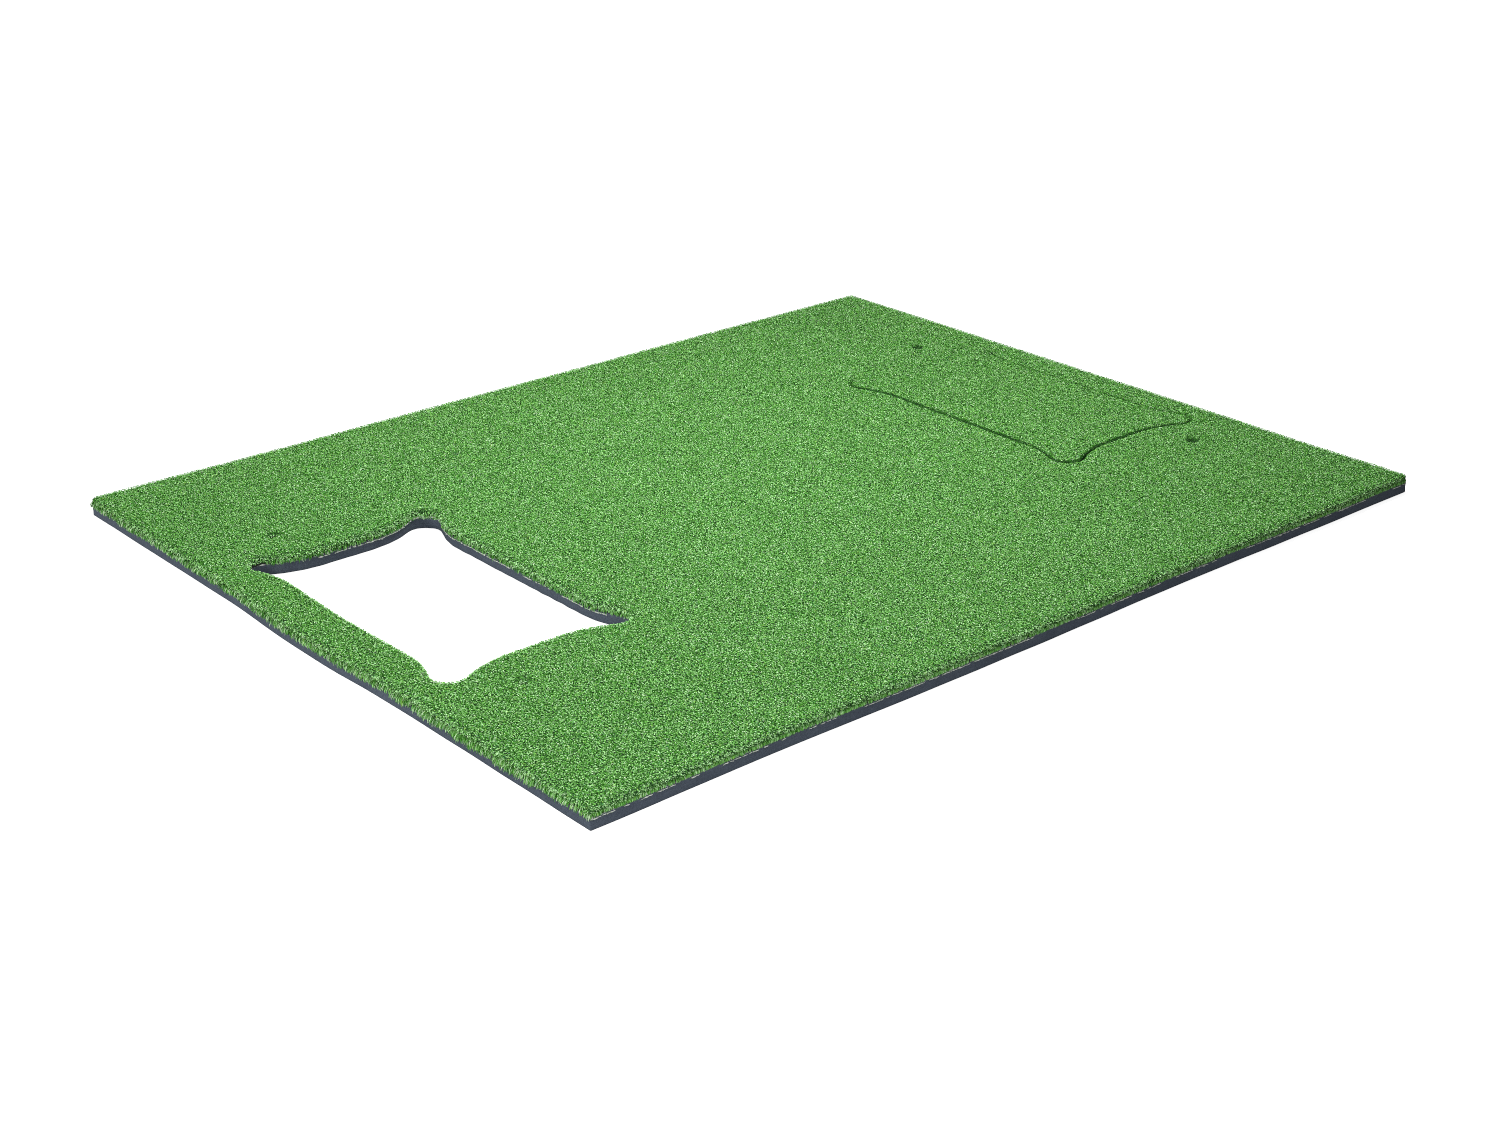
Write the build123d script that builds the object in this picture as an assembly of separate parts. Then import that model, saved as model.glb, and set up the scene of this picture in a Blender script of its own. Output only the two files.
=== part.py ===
from build123d import *
import math
import os

# Artificial-turf golf hitting mat: a turf carpet bonded to a resilient foam pad, with
# two identical eared cut-outs for a swing-sensor pad. The -X cut-out is open. The +X one
# is filled flush by the plug that was die-cut from it, which lifts out.
#
# Frame: millimetres, origin at the centre of the underside, +Z up, +X along the long
# (5 ft) side, +Y along the short (4 ft) side.

# ---------------------------------------------------------------- mat
MAT_LENGTH = 1524.0        # along X, 5 ft
MAT_WIDTH = 1219.2         # along Y, 4 ft
PILE_EDGE_R = 5.0          # pile rounds over at the mat's outer edge
PILE_CORNER_R = 9.0        # pile splays at the mat's four plan corners

# Layers from the underside up: name, thickness
LAYERS = [
    ("foam_pad", 16.0),        # closed-cell EVA foam
    ("adhesive_film", 0.4),    # cured film between foam and turf carpet
    ("latex_backing", 1.4),    # secondary (pre-coat) backing
    ("woven_backing", 1.0),    # primary backing that the yarn is tufted through
    ("turf_pile", 11.7),       # textured nylon pile
]
TOP_Z = sum(thickness for _, thickness in LAYERS)

# Tee holes, through every layer, at the corners of a rectangle
TEE_X = 635.0
TEE_Y = MAT_WIDTH / 4
TEE_R = 8.0

# ---------------------------------------------------------------- eared cut-out
# A rectangle with four rounded ears, joined to its straight sides by sweeping concave
# arcs. Half sizes and ear centres are from the cut-out's own centre.
CUT_X = 562.5                 # centre of each cut-out, either side of the mat's centre
CUT_HALF_WIDTH = 134.0        # along X, to the straight long side
CUT_HALF_LENGTH = 225.0       # along Y, to the straight short side
EAR_X, EAR_Y = 126.5, 223.0   # centre of the ear's tip arc
EAR_R = 26.0                  # radius of the ear's tip
END_SWEEP_R = 155.0           # arc between the short side and the ear
SIDE_SWEEP_R = 145.0          # arc between the long side and the ear
KERF = 1.25                   # gap left all round the plug by the cutting die

# ---------------------------------------------------------------- edge selection
MATCH_TOL = 0.01
# An edge whose centre is this near an outer side is on the rim. It has to reach the
# middle of a corner arc, which lies about 0.3 * PILE_CORNER_R in from both sides.
RIM_REACH = 4.0


def shorter_arc(centre, start, end):
    """Start, middle and end of the shorter arc from start to end about centre."""
    outwards = ((start + end) / 2 - centre).normalized()
    return start, centre + outwards * (start - centre).length, end


def ear_arcs(inset):
    """The three arcs of the +X +Y ear, from the short side round to the long side."""
    half_width = CUT_HALF_WIDTH - inset
    half_length = CUT_HALF_LENGTH - inset
    # Moving the outline inwards shrinks the convex tip and grows the concave sweeps.
    tip_r = EAR_R - inset
    end_r = END_SWEEP_R + inset
    side_r = SIDE_SWEEP_R + inset

    # Each sweep is tangent to its straight side, and touches the tip arc from outside.
    end_y = half_length + end_r
    end_x = EAR_X - math.sqrt((end_r + tip_r) ** 2 - (end_y - EAR_Y) ** 2)
    side_x = half_width + side_r
    side_y = EAR_Y - math.sqrt((side_r + tip_r) ** 2 - (side_x - EAR_X) ** 2)

    ear = Vector(EAR_X, EAR_Y)
    end_centre = Vector(end_x, end_y)
    side_centre = Vector(side_x, side_y)
    end_touch = ear + (end_centre - ear).normalized() * tip_r
    side_touch = ear + (side_centre - ear).normalized() * tip_r
    return [
        shorter_arc(end_centre, Vector(end_x, half_length), end_touch),
        shorter_arc(ear, end_touch, side_touch),
        shorter_arc(side_centre, side_touch, Vector(half_width, side_y)),
    ]


def eared_face(centre_x, inset=0.0):
    """Plan face of the eared shape at (centre_x, 0), moved inwards by inset all round."""
    quarter = ear_arcs(inset)
    edges = []
    # Clockwise from the +X +Y ear. A single mirror reverses the direction of travel.
    for sign_x, sign_y in ((1, 1), (1, -1), (-1, -1), (-1, 1)):
        arcs = [[(centre_x + sign_x * point.X, sign_y * point.Y) for point in arc]
                for arc in quarter]
        if sign_x != sign_y:
            arcs = [arc[::-1] for arc in arcs[::-1]]
        if edges:
            edges.append(Line(edges[-1] @ 1, arcs[0][0]))
        edges += [ThreePointArc(*arc) for arc in arcs]
    edges.append(Line(edges[-1] @ 1, edges[0] @ 0))
    return make_face(Wire(edges))


def mat_plan():
    """Plan face of the mat: the rectangle less both cut-outs and the tee holes."""
    face = Rectangle(MAT_LENGTH, MAT_WIDTH)
    for centre_x in (-CUT_X, CUT_X):
        face -= eared_face(centre_x)
    for x in (-TEE_X, TEE_X):
        for y in (-TEE_Y, TEE_Y):
            face -= Pos(x, y) * Circle(TEE_R)
    return face


def stack(owner, plan):
    """Every layer extruded from the same plan, one on top of another, by part name."""
    solids = {}
    z = 0.0
    for name, thickness in LAYERS:
        solids[f"{owner}_{name}"] = Pos(0, 0, z) * extrude(plan, thickness, dir=(0, 0, 1))
        z += thickness
    return solids


def side_gaps(edge):
    """Distances in X and in Y from the edge's centre to the mat's nearest outer sides."""
    centre = edge.center()
    return abs(abs(centre.X) - MAT_LENGTH / 2), abs(abs(centre.Y) - MAT_WIDTH / 2)


def round_pile(pile):
    """The mat's pile, splayed at the plan corners, then rounded over along its rim."""
    corners = [edge for edge in pile.edges().filter_by(Axis.Z)
               if max(side_gaps(edge)) < MATCH_TOL]
    pile = fillet(corners, PILE_CORNER_R)
    rim = [edge for edge in pile.edges()
           if min(side_gaps(edge)) < RIM_REACH
           and abs(edge.center().Z - TOP_Z) < MATCH_TOL]
    return fillet(rim, PILE_EDGE_R)


parts = stack("mat", mat_plan()) | stack("insert", eared_face(CUT_X, KERF))
parts["mat_turf_pile"] = round_pile(parts["mat_turf_pile"])

os.makedirs("parts", exist_ok=True)
for name, solid in parts.items():
    export_step(solid, f"parts/{name}.step")
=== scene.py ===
import math

import bpy
import numpy as np
from mathutils import Matrix, Vector
from mathutils.geometry import tessellate_polygon


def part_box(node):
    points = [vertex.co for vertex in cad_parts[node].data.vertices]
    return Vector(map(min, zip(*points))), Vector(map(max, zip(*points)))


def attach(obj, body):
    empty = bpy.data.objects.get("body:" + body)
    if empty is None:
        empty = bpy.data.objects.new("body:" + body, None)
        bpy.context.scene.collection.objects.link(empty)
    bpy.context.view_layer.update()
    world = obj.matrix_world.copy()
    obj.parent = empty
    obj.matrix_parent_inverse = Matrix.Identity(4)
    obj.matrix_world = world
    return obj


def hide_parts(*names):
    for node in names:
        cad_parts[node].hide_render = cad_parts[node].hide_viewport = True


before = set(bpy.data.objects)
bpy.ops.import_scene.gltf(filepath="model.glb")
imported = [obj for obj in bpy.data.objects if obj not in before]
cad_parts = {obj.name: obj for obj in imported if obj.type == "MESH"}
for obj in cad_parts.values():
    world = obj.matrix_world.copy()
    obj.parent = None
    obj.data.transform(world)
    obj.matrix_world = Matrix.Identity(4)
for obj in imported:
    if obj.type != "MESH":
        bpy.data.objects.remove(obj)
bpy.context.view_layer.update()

MM = 0.001


def box_mm(node_name):
    low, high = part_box(node_name)
    return np.array(low) / MM, np.array(high) / MM


def top_mm(node_name):
    return float(box_mm(node_name)[1][2])


HALF_X, HALF_Y, Z_FOAM = (float(value) for value in box_mm("mat_foam_pad")[1])
Z_FILM = top_mm("mat_adhesive_film")
Z_LATEX = top_mm("mat_latex_backing")
Z_WOVEN = top_mm("mat_woven_backing")
Z_TOP = top_mm("mat_turf_pile")
plug_low, plug_high = box_mm("insert_foam_pad")
PLUG_X = float(plug_low[0] + plug_high[0]) / 2
OPEN_X = -PLUG_X

# the eared outline: half sizes of its straight parts, and the ear, end and side arcs
CUT_HALF_X, CUT_HALF_Y = 134.0, 225.0
EAR = np.array([126.5, 223.0])
EAR_R, END_R, SIDE_R = 26.0, 155.0, 145.0
KERF = 1.25                 # gap between the plug and its cut-out
MAT_CORNER = 1.5            # radius of the mat's corners
TEE_R = 8.0
TEES = [(side_x * 635.0, side_y * 304.8) for side_x in (-1, 1) for side_y in (-1, 1)]

# kinds of edge on the mat, in the order mat_edges gives them
OUTER, OPENING, SEAM, TEE = range(4)

rng = np.random.default_rng(48060)


# ---------------------------------------------------------------- noise and easing
def value_noise(x, y, scale, seed):
    """Smooth value noise in -1..1, over a hashed lattice of the given cell size."""
    table = np.random.default_rng(seed).uniform(-1, 1, (256, 256))
    grid_x, grid_y = x / scale + 1000.0, y / scale + 1000.0
    cell_x, cell_y = np.floor(grid_x).astype(np.int64), np.floor(grid_y).astype(np.int64)
    part_x, part_y = grid_x - cell_x, grid_y - cell_y
    part_x = part_x * part_x * (3 - 2 * part_x)
    part_y = part_y * part_y * (3 - 2 * part_y)

    def across(row):
        return (table[cell_x & 255, row & 255] * (1 - part_x)
                + table[(cell_x + 1) & 255, row & 255] * part_x)

    return across(cell_y) * (1 - part_y) + across(cell_y + 1) * part_y


def ease(start, end, value):
    """0 before start, 1 after end, smooth between."""
    part = np.clip((value - start) / (end - start), 0, 1)
    return part * part * (3 - 2 * part)


def hump(value):
    """1 at zero, falling smoothly to 0 at -1 and 1."""
    return np.where(np.abs(value) < 1, np.cos(np.clip(value, -1, 1) * math.pi / 2) ** 2, 0.0)


def fade(distance, reach):
    """1 at distance 0, falling evenly to 0 at reach."""
    return np.clip(1 - distance / reach, 0, 1)


# ---------------------------------------------------------------- outlines
def quarter_outline(inset, step):
    """The eared outline's first quadrant, from its end on the Y axis round the ear to the X axis."""
    half_x, half_y = CUT_HALF_X - inset, CUT_HALF_Y - inset
    ear_r, end_r, side_r = EAR_R - inset, END_R + inset, SIDE_R + inset
    flat_x = EAR[0] - math.sqrt((end_r + ear_r) ** 2 - (half_y + end_r - EAR[1]) ** 2)
    flat_y = EAR[1] - math.sqrt((side_r + ear_r) ** 2 - (half_x + side_r - EAR[0]) ** 2)
    end_centre = np.array([flat_x, half_y + end_r])
    side_centre = np.array([half_x + side_r, flat_y])
    end_touch = EAR + (end_centre - EAR) * ear_r / (end_r + ear_r)
    side_touch = EAR + (side_centre - EAR) * ear_r / (side_r + ear_r)

    def angle_of(centre, point):
        return math.atan2(point[1] - centre[1], point[0] - centre[0])

    def hollow(centre, start, end):
        first, last = angle_of(centre, start), angle_of(centre, end)
        sweep = (last - first + math.pi) % (2 * math.pi) - math.pi
        radius = math.hypot(*(start - centre))
        count = max(3, int(abs(sweep) * radius / step))
        angle = first + sweep * np.linspace(0, 1, count + 1)[:-1]
        return centre + radius * np.c_[np.cos(angle), np.sin(angle)]

    def ear():
        first, last = angle_of(EAR, end_touch), angle_of(EAR, side_touch)
        count = max(6, int((first - last) * ear_r / step))
        angle = np.linspace(first, last, count + 1)[:-1]
        return EAR + ear_r * np.c_[np.cos(angle), np.sin(angle)]

    end_count = max(2, int(flat_x / step))
    side_count = max(2, int(flat_y / step))
    end_flat = np.c_[np.linspace(0, flat_x, end_count + 1)[:-1], np.full(end_count, half_y)]
    side_flat = np.c_[np.full(side_count + 1, half_x), np.linspace(flat_y, 0, side_count + 1)]
    return np.vstack([end_flat, hollow(end_centre, np.array([flat_x, half_y]), end_touch), ear(),
                      hollow(side_centre, side_touch, np.array([half_x, flat_y])), side_flat])


def eared_loop(centre_x, inset, step):
    """The closed eared outline, anticlockwise."""
    quarter = quarter_outline(inset, step)
    loop = np.vstack([quarter, (quarter * [1, -1])[::-1][1:], (quarter * [-1, -1])[1:],
                      (quarter * [-1, 1])[::-1][1:-1]])[::-1]
    return loop + [centre_x, 0.0]


def rect_loop(half_x, half_y, radius, step):
    """A closed rectangle with rounded corners, anticlockwise."""
    corners = ((1, -1), (1, 1), (-1, 1), (-1, -1))
    parts = []
    for k, (sign_x, sign_y) in enumerate(corners):
        centre = np.array([sign_x * (half_x - radius), sign_y * (half_y - radius)])
        count = max(3, int(radius * math.pi / 2 / step))
        first = -math.pi / 2 + k * math.pi / 2
        angle = first + np.linspace(0, math.pi / 2, count + 1)
        corner = centre + radius * np.c_[np.cos(angle), np.sin(angle)]
        parts.append(corner)
        next_x, next_y = corners[(k + 1) % 4]
        along_y = k % 2 == 0
        end = np.array([next_x * (half_x if along_y else half_x - radius),
                        next_y * (half_y - radius if along_y else half_y)])
        count = int(np.hypot(*(end - corner[-1])) / step)
        part = np.linspace(0, 1, count + 1)[1:-1, None]
        parts.append(corner[-1] * (1 - part) + end * part)
    return np.vstack(parts)


def tee_loop(centre_x, centre_y):
    angle = np.linspace(0, 2 * math.pi, 29)[:-1]
    return np.c_[centre_x + TEE_R * np.cos(angle), centre_y + TEE_R * np.sin(angle)]


def side_lengths(loop):
    return np.hypot(*(np.roll(loop, -1, 0) - loop).T)


def loop_normals(loop):
    """Unit normals on the right of travel, so they point out of an anticlockwise outline."""
    travel = np.roll(loop, -1, 0) - np.roll(loop, 1, 0)
    normal = np.c_[travel[:, 1], -travel[:, 0]]
    return normal / np.maximum(np.hypot(normal[:, 0], normal[:, 1]), 1e-9)[:, None]


def wander(loop, amount, seed):
    """A smooth periodic wobble along a closed loop."""
    generator = np.random.default_rng(seed)
    sides = side_lengths(loop)
    along = np.concatenate([[0], np.cumsum(sides)[:-1]]) / sides.sum()
    total = np.zeros(len(loop))
    waves = generator.integers(3, 60, 10)
    for wave in waves:
        total += np.sin(2 * math.pi * (wave * along + generator.uniform())) / math.sqrt(len(waves))
    return amount * total


def scatter_along(loop, outward, per_mm):
    """Random points along a closed loop, and the normal at each, times outward."""
    normals = loop_normals(loop) * outward
    sides = side_lengths(loop)
    along = np.concatenate([[0], np.cumsum(sides)])
    place = np.sort(rng.uniform(0, along[-1], int(along[-1] * per_mm)))
    i = np.clip(np.searchsorted(along, place, side="right") - 1, 0, len(loop) - 1)
    part = ((place - along[i]) / np.maximum(sides[i], 1e-9))[:, None]
    return loop[i] * (1 - part) + loop[(i + 1) % len(loop)] * part, normals[i]


# ---------------------------------------------------------------- distances to the edges
MAP_X, MAP_Y = 232, 332     # cells of 1 mm in the map of the eared shape's first quadrant


def build_ear_map():
    """Signed distance from the eared outline at each map point, positive outside it."""
    line = quarter_outline(0.0, 1.0)
    starts, sides = line[:-1], line[1:] - line[:-1]
    grid = np.meshgrid(np.arange(MAP_X + 1.0), np.arange(MAP_Y + 1.0), indexing="ij")
    points = np.c_[grid[0].ravel(), grid[1].ravel()]
    distance = np.full(len(points), 1e9)
    for start, side in zip(starts, sides):
        part = np.clip(((points - start) @ side) / (side @ side), 0, 1)
        gap = points - start - part[:, None] * side
        distance = np.minimum(distance, np.hypot(gap[:, 0], gap[:, 1]))
    # a point is inside when a ray from it crosses the closed quadrant an odd number of times
    inside = np.zeros(len(points), bool)
    ring = np.vstack([line, [[0.0, 0.0]], line[:1]])
    shifted = points + 1e-6
    for (x0, y0), (x1, y1) in zip(ring[:-1], ring[1:]):
        if y0 == y1:
            continue
        level = (y0 > shifted[:, 1]) != (y1 > shifted[:, 1])
        crossing = x0 + (shifted[:, 1] - y0) * (x1 - x0) / (y1 - y0)
        inside ^= level & (shifted[:, 0] < crossing)
    return np.where(inside, -distance, distance).reshape(MAP_X + 1, MAP_Y + 1)


EAR_MAP = build_ear_map()
EAR_SLOPE_X, EAR_SLOPE_Y = np.gradient(EAR_MAP)


def ear_distance(x, y, centre_x):
    """Signed distance from the eared outline, positive outside it, and its outward direction."""
    map_x, map_y = np.abs(x - centre_x), np.abs(y)
    far = (map_x > MAP_X - 1) | (map_y > MAP_Y - 1)
    near_x, near_y = np.clip(map_x, 0, MAP_X - 1.001), np.clip(map_y, 0, MAP_Y - 1.001)
    i, j = near_x.astype(int), near_y.astype(int)
    part_x, part_y = near_x - i, near_y - j

    def look(table):
        return ((table[i, j] * (1 - part_x) + table[i + 1, j] * part_x) * (1 - part_y)
                + (table[i, j + 1] * (1 - part_x) + table[i + 1, j + 1] * part_x) * part_y)

    beyond = 60.0 + np.maximum(map_x - MAP_X, map_y - MAP_Y).clip(0)
    distance = np.where(far, beyond, look(EAR_MAP))
    out_x, out_y = look(EAR_SLOPE_X) * np.sign(x - centre_x), look(EAR_SLOPE_Y) * np.sign(y)
    length = np.maximum(np.hypot(out_x, out_y), 1e-6)
    return distance, out_x / length, out_y / length


def outer_distance(x, y):
    """Distance inside the mat's outer rectangle, and the way out."""
    over_x, over_y = np.abs(x) - (HALF_X - MAT_CORNER), np.abs(y) - (HALF_Y - MAT_CORNER)
    corner = (over_x > 0) & (over_y > 0)
    over = np.maximum(np.hypot(over_x, over_y), 1e-6)
    distance = np.where(corner, MAT_CORNER - over, MAT_CORNER - np.maximum(over_x, over_y))
    out_x = np.where(corner, over_x / over, (over_x >= over_y) * 1.0) * np.sign(x)
    out_y = np.where(corner, over_y / over, (over_y > over_x) * 1.0) * np.sign(y)
    return distance, out_x, out_y


def mat_edges(x, y):
    """For points on the mat: distance to each kind of edge, and the direction off that edge."""
    outer, outer_x, outer_y = outer_distance(x, y)
    opening, opening_x, opening_y = ear_distance(x, y, OPEN_X)
    seam, seam_x, seam_y = ear_distance(x, y, PLUG_X)
    tee = np.full(x.shape, 1e9)
    tee_x, tee_y = np.zeros(x.shape), np.zeros(x.shape)
    for centre_x, centre_y in TEES:
        away = np.hypot(x - centre_x, y - centre_y)
        nearer = away - TEE_R < tee
        tee = np.where(nearer, away - TEE_R, tee)
        tee_x = np.where(nearer, -(x - centre_x) / np.maximum(away, 1e-6), tee_x)
        tee_y = np.where(nearer, -(y - centre_y) / np.maximum(away, 1e-6), tee_y)
    return (np.stack([outer, opening, seam, tee]),
            np.stack([outer_x, -opening_x, -seam_x, tee_x]),
            np.stack([outer_y, -opening_y, -seam_y, tee_y]))


def insert_edges(x, y):
    """The same for points on the insert, whose only edge is its outline."""
    distance, out_x, out_y = ear_distance(x, y, PLUG_X)
    return (-distance - KERF)[None], out_x[None], out_y[None]


def nearest_edge(distances, out_x, out_y):
    """The nearest edge's row, its distance and the direction off it."""
    row, i = np.argmin(distances, 0), np.arange(distances.shape[1])
    return row, distances[row, i], out_x[row, i], out_y[row, i]


def flex(x, y):
    """Moves points with the sheet, which isn't perfectly straight: the narrow strip beside the
    open cut-out bows out, and the sides wander by a few millimetres."""
    strip = hump(y / 235.0) * ease(640.0, 690.0, -x)
    dx = -6.0 * strip
    front = 1 - ease(0.0, 240.0, y + HALF_Y)
    dy = front * (2.2 * hump((x + 500.0) / 260.0) + 3.4 * hump((x - 280.0) / 330.0))
    back = 1 - ease(0.0, 240.0, HALF_Y - y)
    dy = dy - back * (3.0 * hump((x + 430.0) / 260.0)) + back * 1.6 * hump((x - 420.0) / 300.0)
    side = 1 - ease(0.0, 200.0, HALF_X - x)
    dx = dx - side * 2.4 * hump((y + 440.0) / 170.0)
    return x + dx, y + dy


def flexed(points):
    return np.column_stack(flex(points[:, 0], points[:, 1]))


# ---------------------------------------------------------------- mesh helpers
def new_object(name, verts, quads, tris=None, uv=None):
    """A mesh object from arrays of vertices (mm), quads and triangles."""
    mesh = bpy.data.meshes.new(name)
    verts = np.asarray(verts, np.float32) * MM
    mesh.vertices.add(len(verts))
    mesh.vertices.foreach_set("co", verts.ravel())
    loops, starts, totals, used = [], [], [], 0
    for faces, corners in ((quads, 4), (tris, 3)):
        if faces is None:
            continue
        faces = np.asarray(faces, np.int32)
        loops.append(faces.ravel())
        starts.append(used + np.arange(len(faces), dtype=np.int32) * corners)
        totals.append(np.full(len(faces), corners, np.int32))
        used += faces.size
    loops, starts, totals = (np.concatenate(part) for part in (loops, starts, totals))
    mesh.loops.add(len(loops))
    mesh.loops.foreach_set("vertex_index", loops)
    mesh.polygons.add(len(starts))
    mesh.polygons.foreach_set("loop_start", starts)
    mesh.polygons.foreach_set("loop_total", totals)
    mesh.update(calc_edges=True)
    if uv is not None:
        layer = mesh.uv_layers.new(name="OFBake")
        layer.data.foreach_set("uv", np.asarray(uv, np.float32).ravel())
    mesh.validate()
    ob = bpy.data.objects.new(name, mesh)
    bpy.context.scene.collection.objects.link(ob)
    return ob


def shade_smooth(ob, angle=None):
    ob.data.polygons.foreach_set("use_smooth", np.ones(len(ob.data.polygons), bool))
    if angle is not None:
        ob.data.set_sharp_from_angle(angle=math.radians(angle))


def finish_piece(ob, material, body, node_name, slot_name):
    ob.data.materials.append(material)
    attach(ob, body)
    if node_name:
        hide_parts(node_name)


def ring_quads(lower, upper, count, hole):
    """Quads between two rings of vertices, given each ring's first index."""
    i = np.arange(count)
    after = (i + 1) % count
    quads = np.c_[lower + i, lower + after, upper + after, upper + i]
    return quads[:, ::-1] if hole else quads


def cap(verts, rings, upward):
    """Triangles that fill the first ring around the others, facing up or down."""
    lines = [[Vector((float(x), float(y), 0.0)) for x, y in verts[ring, :2]] for ring in rings]
    tris = np.concatenate(rings)[np.array(tessellate_polygon(lines), np.int64)]
    first, second, third = (verts[tris[:, k], :2] for k in range(3))
    to_second, to_third = second - first, third - first
    area = to_second[:, 0] * to_third[:, 1] - to_second[:, 1] * to_third[:, 0]
    flip = (area > 0) != upward
    tris[flip] = tris[flip][:, ::-1]
    return tris[np.abs(area) > 1e-7]


def slab(name, loops, profile, wobble, grain, seed):
    """A sheet whose first loop is its outside and whose other loops are holes. profile lists
    (z, inset). Its walls wander by wobble, and are roughened by grain."""
    verts, quads, bottoms, tops = [], [], [], []
    base = 0
    generator = np.random.default_rng(seed)
    for k, loop in enumerate(loops):
        hole = k > 0
        normals = loop_normals(loop) * (-1 if hole else 1)
        wave = wander(loop, wobble, seed + k * 7)
        count = len(loop)
        for row, (z, inset) in enumerate(profile):
            offset = wave - inset + generator.normal(0, grain, count)
            verts.append(np.c_[flexed(loop + normals * offset[:, None]), np.full(count, z)])
            if row:
                lower = base + (row - 1) * count
                quads.append(ring_quads(lower, lower + count, count, hole))
        bottoms.append(np.arange(base, base + count))
        tops.append(bottoms[-1] + (len(profile) - 1) * count)
        base += count * len(profile)
    verts = np.vstack(verts)
    tris = np.vstack([cap(verts, bottoms, False), cap(verts, tops, True)])
    ob = new_object(name, verts, np.vstack(quads), tris)
    shade_smooth(ob, angle=50)
    return ob


# ---------------------------------------------------------------- shader helpers
class Shader:
    """Adds nodes to a tree. Each input is given as a value to set or a socket to link."""

    def __init__(self, tree):
        self.tree = tree

    def fill(self, node, inputs):
        for key, value in inputs.items():
            if isinstance(value, bpy.types.NodeSocket):
                self.tree.links.new(value, node.inputs[key])
            else:
                node.inputs[key].default_value = value

    def add(self, kind, inputs=None, **settings):
        node = self.tree.nodes.new("ShaderNode" + kind)
        for key, value in settings.items():
            setattr(node, key, value)
        self.fill(node, inputs or {})
        return node

    def object_position(self):
        return self.add("TexCoord").outputs["Object"]

    def noise(self, vector, scale, detail=2.0, output="Fac"):
        inputs = {"Vector": vector, "Scale": scale, "Detail": detail}
        return self.add("TexNoise", inputs).outputs[output]

    def cells(self, vector, scale, feature="F1"):
        inputs = {"Vector": vector, "Scale": scale}
        return self.add("TexVoronoi", inputs, feature=feature).outputs["Distance"]

    def stretch(self, vector, scale):
        return self.add("Mapping", {"Vector": vector, "Scale": scale}).outputs[0]

    def calc(self, operation, *values):
        return self.add("Math", dict(enumerate(values)), operation=operation).outputs[0]

    def map_range(self, value, to_range, from_range=(0.0, 1.0)):
        return self.add("MapRange", {
            "Value": value, "From Min": from_range[0], "From Max": from_range[1],
            "To Min": to_range[0], "To Max": to_range[1]}).outputs[0]

    def multiply(self, first, second):
        return self.add("Mix", {"Factor": 1.0, 6: first, 7: second},
                        data_type="RGBA", blend_type="MULTIPLY").outputs[2]

    def bump(self, height, strength, distance):
        inputs = {"Height": height, "Strength": strength, "Distance": distance}
        return self.add("Bump", inputs).outputs[0]

    def ramp(self, value, stops, interpolation="LINEAR"):
        """A colour ramp. stops lists (position, colour)."""
        node = self.add("ValToRGB", {0: value})
        color_ramp = node.color_ramp
        color_ramp.interpolation = interpolation
        while len(color_ramp.elements) > 1:
            color_ramp.elements.remove(color_ramp.elements[-1])
        color_ramp.elements[0].position = stops[0][0]
        color_ramp.elements[0].color = (*stops[0][1], 1)
        for position, color in stops[1:]:
            color_ramp.elements.new(position).color = (*color, 1)
        return node.outputs[0]


def new_material(name):
    """A material, its shader tree and its principled surface."""
    material = bpy.data.materials.new(name)
    material.use_nodes = True
    material.node_tree.nodes.clear()
    shader = Shader(material.node_tree)
    output = shader.add("OutputMaterial")
    surface = shader.add("BsdfPrincipled")
    shader.fill(output, {0: surface.outputs[0]})
    return material, shader, surface


# ---------------------------------------------------------------- materials
def foam_material():
    """Slate closed-cell foam, cut: fine cells with painted shade in their pits, faint skiving lines,
    slightly paler scuffs.
    """
    material, shader, surface = new_material("eva_foam_cut")
    position = shader.object_position()
    cells = shader.cells(position, scale=700.0)
    fine = shader.noise(position, scale=420.0, detail=3.0)
    middle = shader.noise(position, scale=45.0, detail=4.0)
    wide = shader.noise(position, scale=6.0)
    # lines stretched along X and Y, packed closely in height
    skiving = shader.noise(shader.stretch(position, (9.0, 9.0, 900.0)), scale=1.0)
    tone = shader.calc("MULTIPLY", middle, 0.25)
    for part, weight in ((fine, 0.45), (wide, 0.16), (skiving, 0.16)):
        tone = shader.calc("MULTIPLY_ADD", part, weight, tone)
    slate = shader.ramp(tone, [(0.28, (0.038, 0.049, 0.066)), (0.5, (0.058, 0.073, 0.097)),
                               (0.72, (0.088, 0.107, 0.135))])
    # painted shade: each cell is darker towards its middle, where its bump hollow lies
    painted_pit_shade = shader.map_range(cells, from_range=(0.0, 0.55), to_range=(0.62, 1.12))
    relief = shader.calc("MULTIPLY_ADD", cells, 0.8, skiving)
    shader.fill(surface, {
        "Base Color": shader.multiply(slate, painted_pit_shade),
        "Specular IOR Level": 0.25,
        "Roughness": shader.map_range(middle, to_range=(0.72, 0.95)),
        "Normal": shader.bump(relief, strength=0.35, distance=0.0006)})
    return material


def film_material():
    """Cured off-white adhesive, slightly glossy, in uneven beads."""
    material, shader, surface = new_material("adhesive_bead")
    position = shader.object_position()
    coarse = shader.noise(position, scale=90.0, detail=4.0)
    fine = shader.noise(position, scale=420.0)
    mean = shader.calc("MULTIPLY", shader.calc("ADD", coarse, fine), 0.5)
    color = shader.ramp(mean, [(0.40, (0.035, 0.045, 0.045)), (0.50, (0.16, 0.18, 0.17)),
                               (0.58, (0.55, 0.58, 0.54))])
    shader.fill(surface, {"Base Color": color, "Roughness": 0.5})
    return material


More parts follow.
